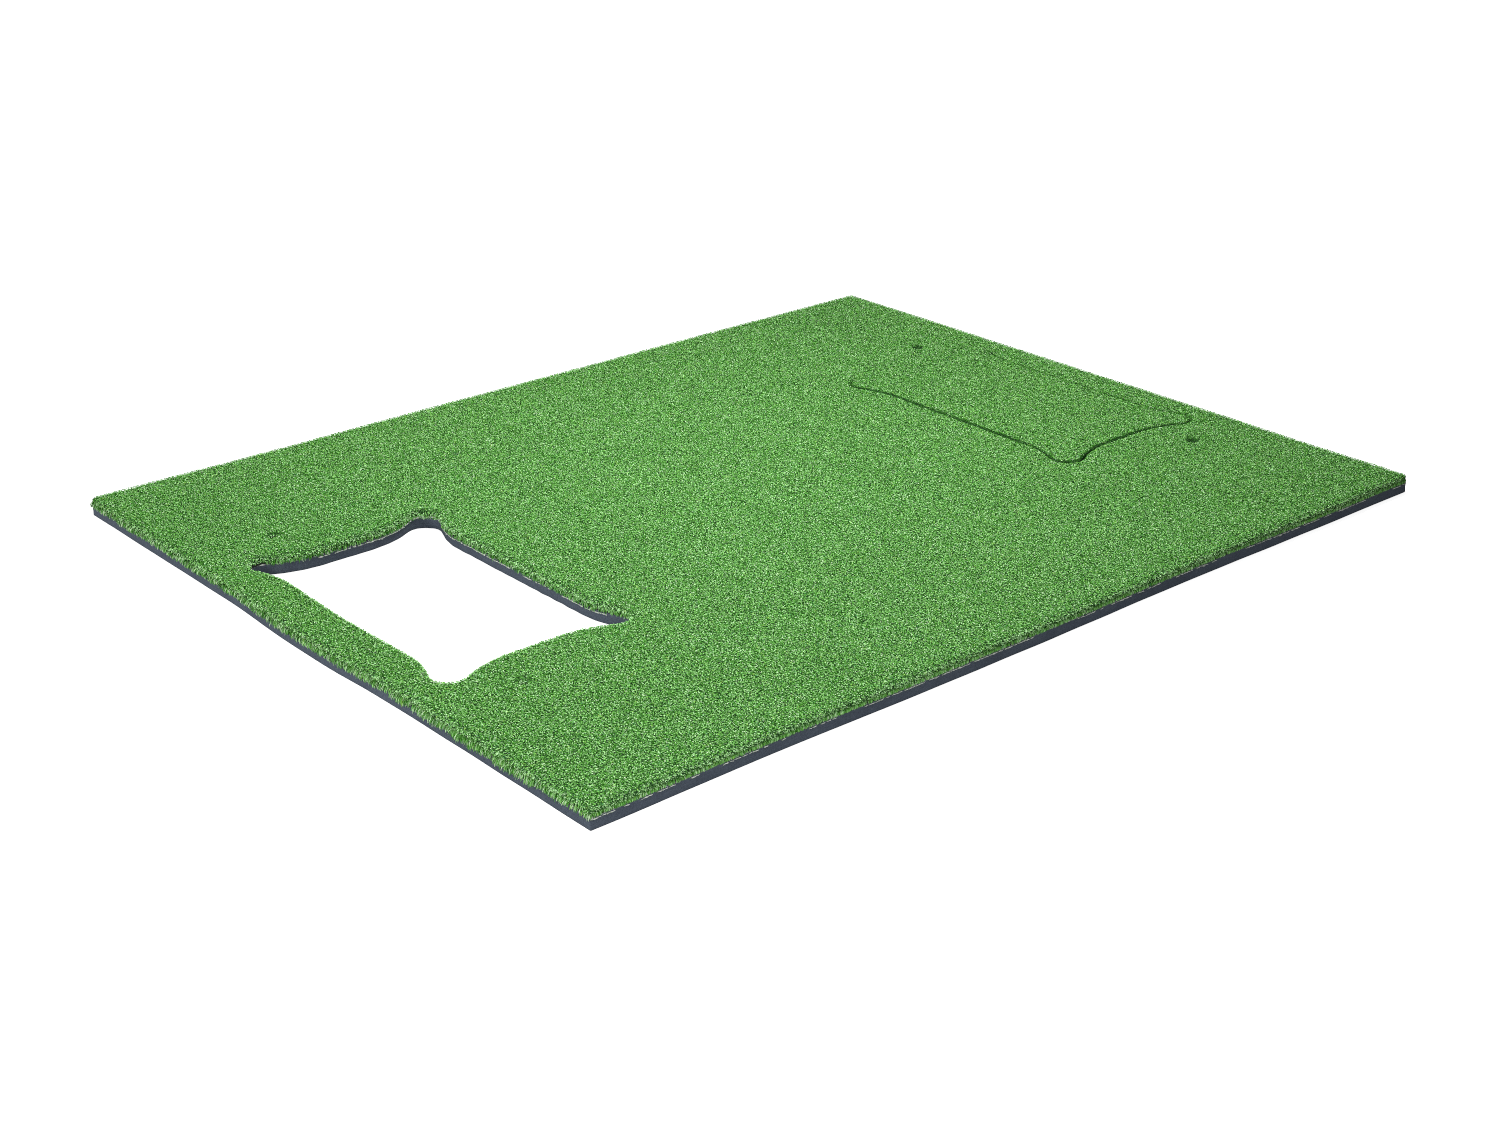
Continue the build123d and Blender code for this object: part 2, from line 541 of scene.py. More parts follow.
def backing_material(name, weave, dark, light):
    """Plain-woven tape backing or its latex coat, with weave as its thread scale."""
    material, shader, surface = new_material(name)
    position = shader.object_position()
    threads = [
        shader.add("TexWave", {"Vector": position, "Scale": weave, "Distortion": 1.2,
                               "Detail": 2.0},
                   wave_type="BANDS", bands_direction=axis).outputs["Fac"]
        for axis in "XY"]
    noise = shader.noise(position, scale=260.0, detail=3.0)
    relief = shader.calc("MULTIPLY", shader.calc("MAXIMUM", *threads), noise)
    shader.fill(surface, {
        "Base Color": shader.ramp(relief, [(0.1, dark), (0.75, light)]),
        "Roughness": 0.85,
        "Normal": shader.bump(relief, strength=0.5, distance=0.0004)})
    return material


def thatch_material():
    """The crowded lower yarn between the tips: dark greens, broken up by curled strands. The dark
    greens are painted shade of the deep pile, darkest in the hollows.
    """
    material, shader, surface = new_material("turf_thatch")
    position = shader.object_position()
    warp = shader.noise(position, scale=240.0, detail=1.0, output="Color")
    warped = shader.add("VectorMath", {0: warp, 1: (0.006, 0.006, 0.006), 2: position},
                        operation="MULTIPLY_ADD").outputs[0]
    gaps = shader.cells(warped, scale=330.0, feature="DISTANCE_TO_EDGE")
    relief = shader.calc("SUBTRACT", shader.noise(warped, scale=520.0), gaps)
    # painted shade: near-black in the hollows and dark green overall, as the shade deep in the pile
    color = shader.ramp(relief, [(0.12, (0.004, 0.022, 0.004)), (0.36, (0.012, 0.060, 0.010)),
                                 (0.52, (0.045, 0.160, 0.030)), (0.70, (0.120, 0.330, 0.070))])
    shader.fill(surface, {
        "Base Color": color,
        "Roughness": 0.7,
        "Specular IOR Level": 0.2,
        "Normal": shader.bump(relief, strength=0.9, distance=0.0012)})
    return material


# Yarn shades. Each strand carries one band of this palette across its width (U), from
# its root to its tip along V, so a strand's colour comes from its UVs alone.
def yarn_green(depth):
    """Yarn green of a given depth: the darker it is, the purer."""
    depths = [0.08, 0.20, 0.36, 0.55, 0.70]
    return (depth * float(np.interp(depth, depths, [0.12, 0.20, 0.355, 0.49, 0.58])), depth,
            depth * float(np.interp(depth, depths, [0.01, 0.06, 0.195, 0.37, 0.50])))


# (depth of green, weight)
GREENS = [(0.080, 8), (0.120, 8), (0.165, 9), (0.215, 9), (0.270, 10), (0.320, 10),
          (0.370, 10), (0.425, 9), (0.480, 8), (0.540, 7), (0.600, 6), (0.670, 5)]
# (colour, weight), with a pale green and then the backing's grey thread last
ODD_HUES = [((0.230, 0.460, 0.080), 1), ((0.300, 0.560, 0.160), 1), ((0.050, 0.240, 0.070), 1),
            ((0.150, 0.380, 0.160), 1), ((0.460, 0.660, 0.390), 2), ((0.520, 0.560, 0.520), 0)]
SHADES = [yarn_green(depth) for depth, _ in GREENS] + [color for color, _ in ODD_HUES]
GREEN_WEIGHTS = np.array([weight for _, weight in GREENS], float)
ODD_WEIGHTS = np.array([weight for _, weight in ODD_HUES], float)
BANDS = len(SHADES)
PALE_BAND, THREAD_BAND = BANDS - 2, BANDS - 1


def yarn_material():
    """Curled nylon yarn: one shade a strand, with painted shade at the root and painted light at the
    tip, streaked along its length.
    """
    material, shader, surface = new_material("turf_yarn")
    uv = shader.add("UVMap", uv_map="OFBake").outputs[0]
    across_along = shader.add("SeparateXYZ", {0: uv}).outputs
    shade = shader.ramp(across_along["X"], [(k / BANDS, color) for k, color in enumerate(SHADES)],
                        interpolation="CONSTANT")
    # painted shade and light along each strand: dark at the root, where the pile shades it, and
    # brighter than its own colour at the tip
    along = shader.ramp(across_along["Y"], [
        (0.0, (0.18, 0.22, 0.16)), (0.30, (0.66, 0.70, 0.62)),
        (0.55, (1.0, 1.0, 1.0)), (1.0, (1.15, 1.08, 1.05))])
    streak = shader.noise(shader.stretch(uv, (BANDS * 5.0, 3.0, 1.0)), scale=1.0)
    streak = shader.map_range(streak, from_range=(0.3, 0.7), to_range=(0.82, 1.16))
    shader.fill(surface, {
        "Base Color": shader.multiply(shader.multiply(shade, along), streak),
        "Roughness": 0.42,
        "Specular IOR Level": 0.07})
    return material


FOAM = foam_material()
FILM = film_material()
LATEX = backing_material("latex_coat", weave=180.0, dark=(0.006, 0.008, 0.006),
                         light=(0.030, 0.036, 0.032))
WOVEN = backing_material("woven_tape", weave=260.0, dark=(0.006, 0.014, 0.006),
                         light=(0.035, 0.060, 0.030))
THATCH = thatch_material()
YARN = yarn_material()


# ---------------------------------------------------------------- sheets
# walls of each sheet from bottom to top: (z, inset)
FOAM_PROFILE = [(0.0, 0.9), (0.35, 0.25), (1.1, 0.0), (4.0, 0.0), (7.0, 0.12), (10.0, 0.1),
                (13.0, 0.0), (Z_FOAM - 0.9, 0.0), (Z_FOAM - 0.25, 0.15), (Z_FOAM, 0.6)]
FILM_PROFILE = [(Z_FOAM, 0.5), (Z_FOAM + 0.2, 0.3), (Z_FILM, 0.6)]
LATEX_PROFILE = [(Z_FILM, 1.0), (Z_FILM + 0.7, 0.8), (Z_LATEX, 1.1)]
WOVEN_PROFILE = [(Z_LATEX, 1.2), (Z_WOVEN, 1.3)]

# object suffix, replaced node's suffix, slot, material, profile, wobble, grain
SHEETS = [
    ("_foam", "_foam_pad", "eva_foam", FOAM, FOAM_PROFILE, 0.35, 0.03),
    ("_adhesive", "_adhesive_film", "adhesive", FILM, FILM_PROFILE, 0.25, 0.06),
    ("_latex", "_latex_backing", "latex", LATEX, LATEX_PROFILE, 0.3, 0.12),
    ("_woven", "_woven_backing", "woven_backing", WOVEN, WOVEN_PROFILE, 0.3, 0.15),
]


def build_sheets(body, loops, film_loops, seed):
    for k, (suffix, node, slot, material, profile, wobble, grain) in enumerate(SHEETS):
        outlines = film_loops if material is FILM else loops
        sheet = slab(body + suffix, outlines, profile, wobble, grain, seed + k)
        finish_piece(sheet, material, body, body + node, slot)


mat_loops = [rect_loop(HALF_X, HALF_Y, MAT_CORNER, step=5.0)]
mat_loops += [eared_loop(centre_x, inset=0.0, step=4.0) for centre_x in (OPEN_X, PLUG_X)]
mat_loops += [tee_loop(*centre) for centre in TEES]
insert_loops = [eared_loop(PLUG_X, inset=KERF, step=4.0)]
# the adhesive stays back from the open cut-out's wall
mat_film_loops = [mat_loops[0], eared_loop(OPEN_X, inset=-1.2, step=4.0)] + mat_loops[2:]
build_sheets("mat", mat_loops, mat_film_loops, seed=11)
build_sheets("insert", insert_loops, insert_loops, seed=71)


# ---------------------------------------------------------------- adhesive bead at the bond line
def bead(body, loops, seed):
    """An uneven six-sided bead squeezed out along the bond line, which swells and thins."""
    verts, quads, base = [], [], 0
    for k, loop in enumerate(loops):
        hole = k > 0
        count = len(loop)
        normals = loop_normals(loop) * (-1 if hole else 1)
        along = np.arange(count) * 4.0
        fat = (0.30 + 0.30 * value_noise(along, along * 0 + 31 * k, 26.0, seed)
               + 0.16 * value_noise(along, along * 0 + 17 * k, 7.0, seed + 1))
        fat = np.clip(fat, 0.05, 0.75) * (0.7 if hole else 1.0)
        z = Z_FOAM + 0.15 + 0.35 * value_noise(along, along * 0 + 5 * k, 18.0, seed + 2)
        out = wander(loop, 0.35, seed + 3 + k) * 0.6 - 0.15
        for side, angle in enumerate(np.linspace(0, 2 * math.pi, 7)[:-1]):
            offset = out + fat * 0.8 * math.cos(angle)
            verts.append(np.c_[flexed(loop + normals * offset[:, None]),
                               z + fat * math.sin(angle)])
            quads.append(ring_quads(base + side * count, base + (side + 1) % 6 * count,
                                    count, hole))
        base += 6 * count
    ob = new_object(body + "_adhesive_bead", np.vstack(verts), np.vstack(quads))
    shade_smooth(ob)
    finish_piece(ob, FILM, body, None, "adhesive")


bead("mat", [rect_loop(HALF_X, HALF_Y, MAT_CORNER, step=3.0),
             eared_loop(OPEN_X, inset=0.0, step=2.5)], seed=301)
bead("insert", [eared_loop(PLUG_X, inset=KERF, step=3.0)], seed=401)


# ---------------------------------------------------------------- pile height
def unevenness(x, y):
    """How open the seam round the plug is, from place to place."""
    return np.clip(0.85 + 0.65 * value_noise(x, y, 24.0, seed=61)
                   + 0.8 * value_noise(x, y, 6.0, seed=62), 0.0, 1.8)


def seam_show(x, y):
    """How plainly the seam shows: well along the plug's -X and -Y sides, hardly along the others
    and round the ears between them."""
    plug_x = x - PLUG_X
    show = 1 - 0.55 * ease(160.0, 210.0, y)
    show = show * (1 - ease(95.0, 125.0, plug_x) * (0.55 + 0.30 * ease(-60.0, 40.0, y)))
    return show * (1 - 0.75 * ease(195.0, 222.0, y) * ease(-110.0, -60.0, plug_x))


def tip_height(x, y, distances, insert):
    """Height of the yarn tips, gently uneven, and rounded over at each kind of edge."""
    z = np.full(x.shape, Z_TOP - 1.2)
    z += 0.40 * value_noise(x, y, 110.0, seed=5) + 0.12 * value_noise(x, y, 31.0, seed=6)
    # each edge lowers the tips by a depth at the edge, over a reach in from it
    if insert:
        z += 1.0
        depth = (1.4 + 0.9 * unevenness(x, y)) * seam_show(x, y)
        return z - depth * fade(distances[0], 5.0) ** 2
    for edge in (OUTER, OPENING):
        z -= 2.7 * fade(distances[edge], 5.5) ** 2
    z -= (1.2 + 2.6 * unevenness(x, y)) * seam_show(x, y) * fade(distances[SEAM], 6.0) ** 2
    z -= 3.6 * fade(distances[TEE], 6.0) ** 2 * np.where(x > 0, 1.5, 0.6)
    return z


def thatch(body, x_range, y_range, pitch, edges):
    """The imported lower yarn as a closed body: a rough top, walls that follow the outline, and a
    flat bottom."""
    insert = body == "insert"
    cells_x = int(round((x_range[1] - x_range[0]) / pitch))
    cells_y = int(round((y_range[1] - y_range[0]) / pitch))
    grid_x, grid_y = np.meshgrid(np.linspace(*x_range, cells_x + 1),
                                 np.linspace(*y_range, cells_y + 1), indexing="ij")
    x, y = grid_x.ravel(), grid_y.ravel()
    # grid points near an edge are drawn onto a line 0.9 mm inside it
    for k in range(3):
        _, near, out_x, out_y = nearest_edge(*edges(x, y))
        if k == 0:
            keep = near > -0.55 * pitch
            rim = keep & (near < 0.45 * pitch)
        x = np.where(rim, x + out_x * (near - 0.9), x)
        y = np.where(rim, y + out_y * (near - 0.9), y)
    index = np.arange(x.size).reshape(cells_x + 1, cells_y + 1)
    quads = np.stack([index[:-1, :-1], index[1:, :-1], index[1:, 1:], index[:-1, 1:]], -1)
    quads = quads.reshape(-1, 4)
    quads = quads[keep[quads].all(1)]
    quads = quads[~rim[quads].all(1)]
    used = np.unique(quads)
    quads = np.searchsorted(used, quads)
    distances = edges(x, y)[0][:, used]
    x, y = x[used], y[used]
    # the top lies below the tips, but rises towards the free edges
    top = tip_height(x, y, distances, insert) - 3.1
    rim_gap = distances[0] + 4.0 if insert else np.minimum(distances[OUTER], distances[OPENING])
    top += 1.5 * (1 - ease(2.0, 11.0, rim_gap))
    top += 0.35 * value_noise(x, y, 6.5, seed=91)
    top = np.maximum(top, Z_WOVEN + 1.5)
    points = flexed(np.c_[x, y])
    count = len(x)
    verts = np.vstack([np.c_[points, top], np.c_[points, np.full(count, Z_WOVEN)]])
    # edges that belong to one quad only are where the walls stand
    sides = np.concatenate([quads[:, [k, (k + 1) % 4]] for k in range(4)])
    key = sides.min(1) * (count + 1) + sides.max(1)
    _, first, uses = np.unique(key, return_index=True, return_counts=True)
    start, end = sides[first[uses == 1]].T
    walls = np.c_[end, start, start + count, end + count]
    ob = new_object(body + "_turf_thatch", verts,
                    np.vstack([quads, quads[:, ::-1] + count, walls]))
    shade_smooth(ob, angle=60)
    finish_piece(ob, THATCH, body, body + "_turf_pile", "turf_yarn")


thatch("mat", (-HALF_X, HALF_X), (-HALF_Y, HALF_Y), pitch=6.2, edges=mat_edges)
thatch("insert", (PLUG_X - 160, PLUG_X + 160), (-256, 256), pitch=4.0, edges=insert_edges)


# ---------------------------------------------------------------- curled yarn
SEGS = 3
TAPER = np.array([0.75, 1.0, 0.95, 0.50])       # share of the width, from root to tip


def pick_shades(tone):
    """A palette band for each strand: its tone picks a green, and now and then another hue."""
    bounds = np.cumsum(GREEN_WEIGHTS) / GREEN_WEIGHTS.sum()
    band = np.clip(np.searchsorted(bounds, tone), 0, len(GREENS) - 1)
    odd_share = ODD_WEIGHTS.sum() / (GREEN_WEIGHTS.sum() + ODD_WEIGHTS.sum())
    odd = rng.uniform(0, 1, len(tone)) < odd_share
    odd_band = rng.choice(np.arange(len(GREENS), BANDS), len(tone),
                          p=ODD_WEIGHTS / ODD_WEIGHTS.sum())
    return np.where(odd, odd_band, band)


def strands(name, body, x, y, z, length, head, turn, root_angle, tip_angle, width, roll, twist,
            band, centred):
    """Curled flat strands as ribbons, with one value of each array a strand. Each starts at
    elevation root_angle and ends at tip_angle, heading by head and turning by turn on the way.
    Centred strands have their middle at (x, y), others their root. Each one's highest point is
    at z. The ribbon is rolled about its length by roll, and twisted by twist along it."""
    count = len(x)
    part = (np.arange(SEGS) + 0.5) / SEGS
    heading = head[:, None] + turn[:, None] * (part - 0.5)
    rise = root_angle[:, None] + (tip_angle - root_angle)[:, None] * part
    step = (length / SEGS)[:, None]
    travel = np.stack([np.cos(rise) * np.cos(heading), np.cos(rise) * np.sin(heading),
                       np.sin(rise)], -1)
    spine = np.concatenate([np.zeros((count, 1, 3)), np.cumsum(travel * step[..., None], 1)], 1)
    shift = np.where(centred[:, None], spine[:, :, :2].mean(1), spine[:, 0, :2])
    spine[:, :, 0] += (x - shift[:, 0])[:, None]
    spine[:, :, 1] += (y - shift[:, 1])[:, None]
    spine[:, :, 2] += (z - spine[:, :, 2].max(1))[:, None]
    tangent = np.concatenate([travel[:, :1], (travel[:, 1:] + travel[:, :-1]), travel[:, -1:]], 1)
    tangent /= np.linalg.norm(tangent, axis=-1, keepdims=True)
    heading = np.concatenate([heading[:, :1], (heading[:, 1:] + heading[:, :-1]) / 2,
                              heading[:, -1:]], 1)
    level = np.stack([-np.sin(heading), np.cos(heading), np.zeros_like(heading)], -1)
    upright = np.cross(tangent, level)
    angle = roll[:, None] + twist[:, None] * (np.arange(SEGS + 1) / SEGS - 0.5)
    across = level * np.cos(angle)[..., None] + upright * np.sin(angle)[..., None]
    half = (width[:, None] * TAPER[None] / 2)[..., None]
    # vertices run by strand, row, side
    verts = np.stack([spine - across * half, spine + across * half], 2).reshape(-1, 3)
    verts[:, 2] = np.maximum(verts[:, 2], 0.6)
    base = (np.arange(count) * (SEGS + 1) * 2)[:, None, None]
    row = (np.arange(SEGS) * 2)[None, :, None]
    quads = base + row + np.array([0, 1, 3, 2])[None, None]
    left = (band + 0.10) / BANDS
    right = (band + 0.90) / BANDS
    along = np.arange(SEGS + 1) / SEGS * 0.98 + 0.01
    uv = np.zeros((count, SEGS, 4, 2))
    uv[..., 0] = np.stack([left, right, right, left], -1)[:, None]
    uv[..., 1] = np.stack([along[:-1], along[:-1], along[1:], along[1:]], -1)[None]
    ob = new_object(name, verts, quads.reshape(-1, 4), uv=uv.reshape(-1, 2))
    shade_smooth(ob)
    finish_piece(ob, YARN, body, None, "turf_yarn")


def over_hole(x, y, length, head, centred):
    """True for strands that would reach over a tee hole, or over its middle at -X."""
    ahead = np.where(centred, 0.5, 1.0) * length * 0.8
    behind = np.where(centred, ahead, 0)
    ends = ((x + np.cos(head) * ahead, y + np.sin(head) * ahead),
            (x - behind * np.cos(head), y - behind * np.sin(head)), (x, y))
    over = np.zeros(x.shape, bool)
    for tee_x, tee_y in TEES:
        clearance = 8.6 if tee_x > 0 else 2.6
        for end_x, end_y in ends:
            over |= np.hypot(end_x - tee_x, end_y - tee_y) < clearance
    return over


def ranked(values):
    """The rank of each value, spread evenly over 0..1."""
    ranks = np.empty(values.size)
    order = np.argsort(values.ravel(), kind="stable")
    ranks[order] = (np.arange(values.size) + 0.5) / values.size
    return ranks


def plant_tufts(pitch):
    """Strands on a jittered hexagonal grid: x, y, a tone in 0..1, the way each leans, and a
    lift. Tones and lifts tend to differ from their neighbours'."""
    row_pitch = pitch * math.sqrt(3) / 2
    rows = int(2 * HALF_Y / row_pitch) + 1
    columns = int(2 * HALF_X / pitch) + 1
    grid_x, grid_y = np.meshgrid(np.arange(columns) * pitch, np.arange(rows) * row_pitch,
                                 indexing="ij")
    grid_x = grid_x + (np.arange(rows) % 2)[None] * pitch / 2
    count = grid_x.size
    x = -HALF_X + grid_x.ravel() + rng.uniform(-0.33, 0.33, count) * pitch
    y = -HALF_Y + grid_y.ravel() + rng.uniform(-0.33, 0.33, count) * pitch

    def uneven():
        values = rng.normal(0, 1, (columns, rows))
        neighbours = ((1, 0), (-1, 0), (0, 1), (0, -1), (1, 1), (-1, -1))
        return values - 0.13 * sum(np.roll(values, shift, (0, 1)) for shift in neighbours)

    lift = uneven()
    tone = ranked(uneven())
    lean = rng.uniform(-math.pi, math.pi, count)
    return x, y, tone, lean, (lift / lift.std()).ravel()


def strands_in_tiles(prefix, body, tiles_x, tiles_y, yarn):
    """The strands as one object a tile, with tiles numbered along X and lettered along Y."""
    tile_x = np.clip(((yarn["x"] + HALF_X) / (2 * HALF_X) * tiles_x).astype(int), 0, tiles_x - 1)
    tile_y = np.clip(((yarn["y"] + HALF_Y) / (2 * HALF_Y) * tiles_y).astype(int), 0, tiles_y - 1)
    for i in range(tiles_x):
        for j in range(tiles_y):
            here = (tile_x == i) & (tile_y == j)
            if here.any():
                strands(f"{prefix}_{i + 1}{'abcd'[j]}", body,
                        **{key: values[here] for key, values in yarn.items()})


def grow(body, tufts, edges, tiles_x, tiles_y):
    """The upright yarn of the mat or the insert."""
    insert = body == "insert"
    x, y, tone, lean, lift = tufts
    distances, ways_x, ways_y = edges(x, y)
    kind, near, out_x, out_y = nearest_edge(distances, ways_x, ways_y)
    inside = near > 0.3
    distances = distances[:, inside]
    x, y, tone, lean, lift, kind, near, out_x, out_y = (
        values[inside] for values in (x, y, tone, lean, lift, kind, near, out_x, out_y))
    if insert:
        kind[:] = SEAM
    count = len(x)

    # the rims at +X and +Y are the evenest
    far = ((x > HALF_X - 14) | (y > HALF_Y - 14)) & (kind == OUTER)
    z = tip_height(x, y, distances, insert)
    z = z + np.clip(0.42 * lift, -1.1, 1.0) * np.where(far, 0.35, 1.0)
    length = rng.uniform(2.35, 3.25, count) * np.where(far, 0.8, 1.0)
    turn = rng.choice([-1.0, 1.0], count) * rng.uniform(0.3, 2.0, count)
    root_angle = np.radians(rng.uniform(42, 84, count))
    tip_angle = np.radians(rng.uniform(-64, -10, count))

    # near a free edge the yarn splays outwards, and near the plug's seam most of it runs along
    # the seam, while bridging strands keep their own lean
    out = np.arctan2(out_y, out_x)
    free = kind != SEAM
    pull = (np.where(free, fade(near, 7.0), 0)
            * np.where(kind == OUTER, np.where(far, 0.35, 1.0), 0.4))
    seam = ~free & (near < 3.6)
    splayed = rng.uniform(0, 1, count) < pull * 0.8
    head = np.where(splayed, out + rng.normal(0, 0.6, count), lean)
    side = rng.choice([-1.0, 1.0], count)
    along = out + side * (math.pi / 2 + rng.uniform(0.0, 0.7, count))
    show = seam_show(x, y)
    bridging = rng.uniform(0, 1, count) < 0.35 + 0.45 * (1 - show)
    head = np.where(seam & ~bridging, along, head)
    turn = np.where(seam | (pull > 0.3), turn * 0.45, turn)
    length = np.where(seam, length * np.where(bridging, 0.7, 0.85), length)
    centred = ~seam & (pull <= 0)

    # painted shade: strands by the seam get darker tones, as the shade in its gap. It reads darkest
    # on the mat's side at -X and -Y of the plug, on the insert's side across from it at +X and +Y,
    # and on both sides at the plug's +X side
    sign = -1 if insert else 1
    toward_x, toward_y = out_x * sign, out_y * sign
    facing = np.maximum(0.7 * toward_x, toward_y)
    right_side = np.clip(-toward_x, 0, 1)
    broken = unevenness(x, y)
    reach = (2.2 + 1.3 * np.clip(facing, 0, 1)) * broken + 2.6 * right_side
    shade = np.where(kind == SEAM, fade(near, reach), 0) * show
    shade = shade * np.clip(0.45 + 0.65 * facing + 0.9 * right_side, 0.12, 1.0)
    # painted shade: strands darken towards each tee hole's rim, more at +X
    painted_tee_shade = np.where(kind == TEE, fade(near, 3.5), 0) * np.where(x > 0, 0.8, 0.35)
    shade = np.maximum(shade, painted_tee_shade)
    # painted shade: tones drop by the seam and the tee holes, and within 5 mm of the rims at +X and
    # +Y
    tone = tone * (1 - 0.95 * np.clip(shade * 1.6, 0, 1)) * np.where(far & (near < 5), 0.7, 1.0)
    # painted light: near the outer edge and the open cut-out, except at +X and +Y, strands turn
    # paler to offset the shade on the rounded-over edge
    rim = np.where(kind <= OPENING, fade(near, 6.0), 0) * ~far
    tone = tone + (0.999 - tone) * 0.45 * rim

    keep = np.ones(count, bool)
    if not insert:
        bare = (1.5 * np.clip(facing, 0, 1) * broken + 1.2 * right_side) * show
        keep = ~over_hole(x, y, length, head, centred) & ~((kind == SEAM) & (near < bare))
    x, y, z, length, head, turn, root_angle, tip_angle, centred, tone = (
        values[keep] for values in
        (x, y, z, length, head, turn, root_angle, tip_angle, centred, tone))
    count = len(x)
    x, y = flex(x, y)
    strands_in_tiles(body + "_turf_yarn", body, tiles_x, tiles_y, dict(
        x=x, y=y, z=z, length=length, head=head, turn=turn,
        root_angle=root_angle, tip_angle=tip_angle,
        width=rng.uniform(1.1, 1.5, count), roll=rng.normal(0, 0.32, count),
        twist=rng.normal(0, 0.6, count), band=pick_shades(tone), centred=centred))


# ---------------------------------------------------------------- yarn and threads at free edges
def at_ear(x, y):
    """1 at the tips of the open cut-out's ears, 0 away from them."""
    return ease(185.0, 215.0, np.abs(y)) * ease(105.0, 128.0, np.abs(x - OPEN_X))


def left_ear_back(x, y):
    """1 on the back half of the ear at (-X, +Y), where the wall stays bare."""
    return ease(222.0, 236.0, y) * (x < OPEN_X)


def outer_droop(x, y):
    """How far the fringe hangs: most along the short side by the open cut-out, least along the
    long front side."""
    left = ease(HALF_X - 12, HALF_X - 2, -x)
    front = ease(HALF_Y - 12, HALF_Y - 2, -y)
    return 0.45 + 0.35 * left * ease(-400.0, 300.0, y) - 0.23 * front * (1 - left)


def open_droop(x, y):
    """How far the fringe reaches into the open cut-out."""
    back_left = (y > 0) * (x < OPEN_X)
    return 0.34 + at_ear(x, y) * (0.55 + 0.35 * back_left) * (1 - left_ear_back(x, y))


def tee_droop(x, y):
    return np.full(x.shape, 0.3)


def fringe():
    """Strands along free edges that lean out over the foam's edge and droop."""
    # loop, which way is out, strands a mm, droop
    edges = [
        (rect_loop(HALF_X - 1, HALF_Y - 1, 6.0, step=3.0), 1, 4.6, outer_droop),
        (eared_loop(OPEN_X, inset=0.0, step=3.0), -1, 4.2, open_droop),
        (tee_loop(*TEES[1]), -1, 3.0, tee_droop),
        (tee_loop(*TEES[0]), -1, 4.0, tee_droop),
    ]
    parts = []
    for loop, outward, per_mm, droop_at in edges:
        points, normals = scatter_along(loop, outward, per_mm)
        inset = rng.uniform(0.4, 3.2, len(points))
        points = points - normals * inset[:, None]
        parts.append(np.c_[points, normals, droop_at(points[:, 0], points[:, 1])])
    x, y, out_x, out_y, droop = np.vstack(parts).T.copy()
    count = len(x)
    # tufts hang in uneven clumps
    clump = (0.5 + 0.5 * value_noise(x, y, 22.0, seed=77)
             + 0.25 * value_noise(x, y, 6.0, seed=78))
    front = ease(HALF_Y - 10, HALF_Y - 3, -y) * (1 - ease(HALF_X - 10, HALF_X - 3, -x))
    droop = droop * np.clip(0.75 + 0.4 * clump * (1 - 0.8 * front), 0.1, 1.3)
    # painted light: fringe strands take mostly pale tones, paler still along the front, to offset
    # the shade on the edge's face
    tone = np.clip(rng.uniform(0.40, 1.35, count) + 0.12 * front, 0, 0.999)
    # painted shade: the sides at +X and +Y are darker, and have shorter strands
    far = (x > HALF_X - 12) | (y > HALF_Y - 12)
    tone = np.where(far, tone * 0.6, tone)
    head = np.arctan2(out_y, out_x) + rng.normal(0, 0.8, count)
    turn = rng.normal(0, 1.2, count)
    length = rng.uniform(2.6, 3.8, count) + 2.2 * droop * rng.uniform(0.3, 1.2, count)
    length = length * np.where(far, 0.8, 1.0)
    sag = np.clip(droop, 0, 1)
    root_angle = np.radians(rng.uniform(0, 50, count) * (1.1 - 0.6 * sag))
    tip_angle = np.radians(-25 - 60 * sag * rng.uniform(0.6, 1.1, count))
    z = (Z_TOP - 3.5 - rng.uniform(0, 1, count) ** 0.9 * (5.0 + 5.6 * droop)
         + rng.normal(0, 0.35, count))
    x, y = flex(x, y)
    strands("mat_turf_fringe", "mat", x, y, z, length, head, turn, root_angle, tip_angle,
            width=rng.uniform(0.9, 1.35, count), roll=rng.normal(0, 0.5, count),
            twist=rng.normal(0, 0.6, count), band=pick_shades(tone),
            centred=np.zeros(count, bool))


